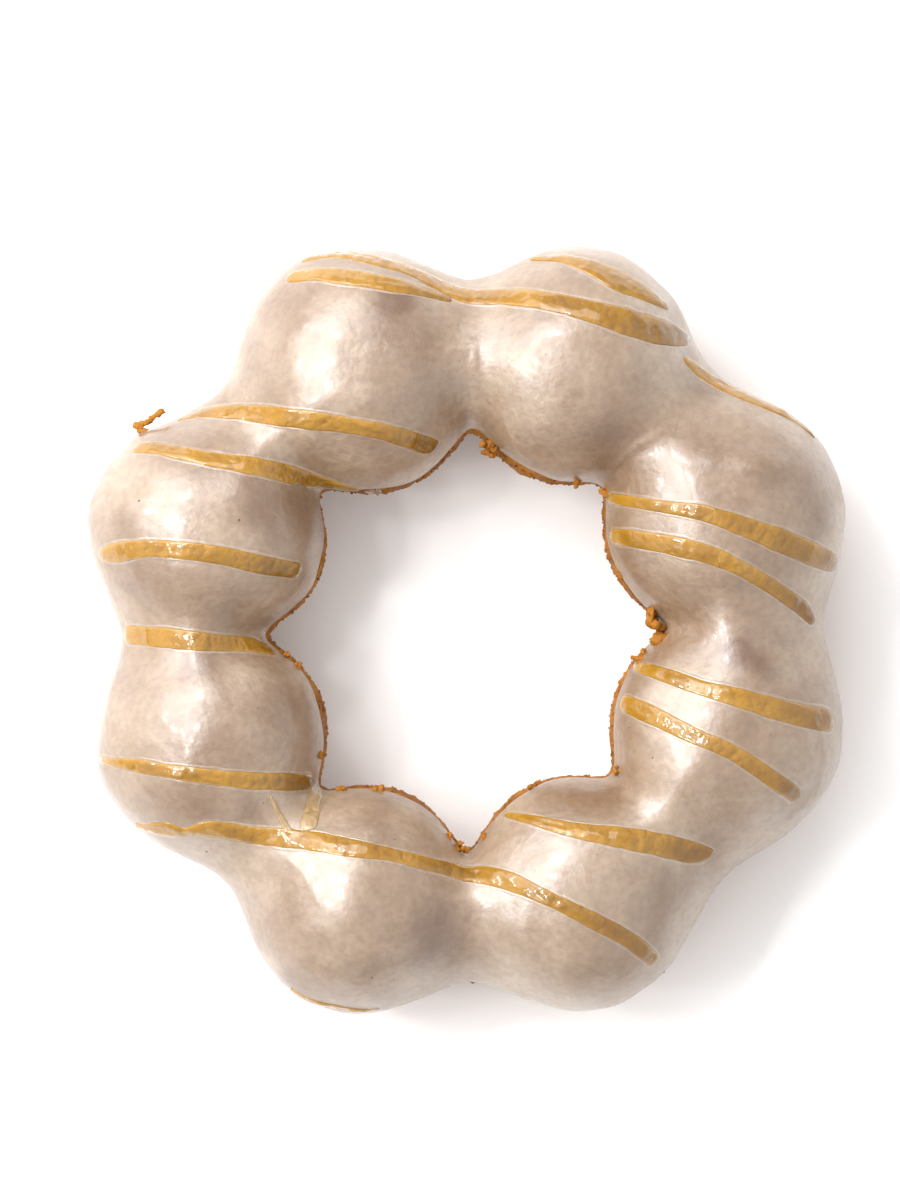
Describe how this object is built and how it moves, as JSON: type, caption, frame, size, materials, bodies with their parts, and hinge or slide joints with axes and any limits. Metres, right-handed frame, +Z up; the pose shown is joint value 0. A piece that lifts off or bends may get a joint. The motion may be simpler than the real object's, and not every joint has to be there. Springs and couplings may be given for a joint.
{
  "type": "mochi doughnut",
  "caption": "Ring doughnut of fused round dough balls with a pale milk-tea glaze on top and thick caramel drizzle strands.",
  "frame": {"origin": "middle of the doughnut's footprint, on the surface it lies on", "axes": "+Z up through the hole, +Y away from the viewer of the picture's lower edge, +X to the picture's right"},
  "size_m": [0.0935, 0.0948, 0.0269],
  "materials": {
    "milk_tea_glaze": "set sugar glaze, smooth satin gloss, faintly see-through",
    "fried_crust": "fried dough, matt with a little oil, rough at the hole",
    "caramel_drizzle": "thick clear-amber drizzle, high gloss"
  },
  "bodies": {
    "root": {"doughnut": "milk_tea_glaze"}
  },
  "joints": []
}
